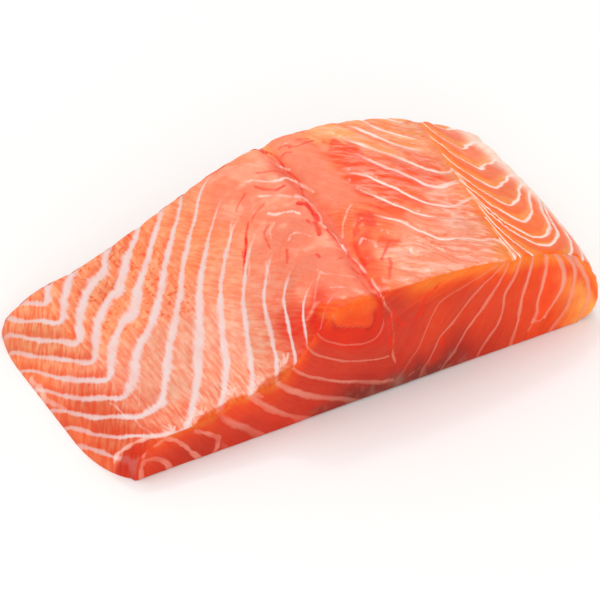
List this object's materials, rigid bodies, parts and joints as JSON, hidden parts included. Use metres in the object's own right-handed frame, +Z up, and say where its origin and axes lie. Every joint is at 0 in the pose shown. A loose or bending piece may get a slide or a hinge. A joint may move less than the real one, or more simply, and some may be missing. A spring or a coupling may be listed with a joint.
{
  "type": "raw salmon fillet",
  "caption": "Raw skinless salmon fillet portion with white fat seams, thin at the belly and domed at the back; lies flat on its base.",
  "frame": {"origin": "middle of the flat base, at the centre of the bounding box in X and Y", "axes": "+X runs from the thin belly edge to the round back, +Y from the front cut to the rear cut, +Z up"},
  "size_m": [0.1578, 0.074, 0.0364],
  "materials": {
    "salmon_flesh": "wet raw flesh, orange-pink with white fat seams"
  },
  "bodies": {
    "root": {"salmon_fillet": "salmon_flesh"}
  },
  "joints": []
}
